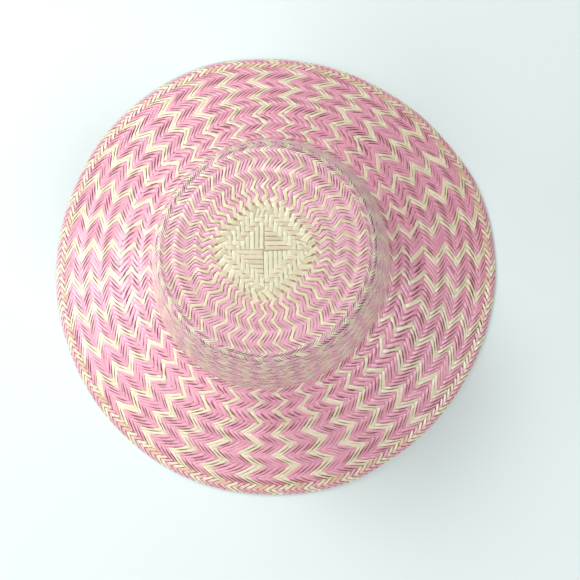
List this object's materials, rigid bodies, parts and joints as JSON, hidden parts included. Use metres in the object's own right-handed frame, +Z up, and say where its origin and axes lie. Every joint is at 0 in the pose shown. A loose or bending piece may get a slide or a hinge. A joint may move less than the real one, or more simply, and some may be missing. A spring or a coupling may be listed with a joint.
{
  "type": "sun hat",
  "caption": "Round plaited straw sun hat with a nearly flat tip, an oval hollow crown, a wide drooping brim and a plaited edge.",
  "frame": {"origin": "on the floor, under the middle of the hat", "axes": "+Z up through the crown's tip, +X and +Y across the brim"},
  "size_m": [0.347, 0.347, 0.138],
  "materials": {
    "crown_straw": "plaited palm straw, natural and dyed rose, dull satin",
    "brim_straw": "plaited palm straw in zigzags, natural and dyed rose, dull satin",
    "edge_straw": "plaited palm straw edge, natural with rose and tan, dull satin"
  },
  "bodies": {
    "root": {"crown": "crown_straw", "brim": "brim_straw", "edge_plait": "edge_straw"}
  },
  "joints": []
}
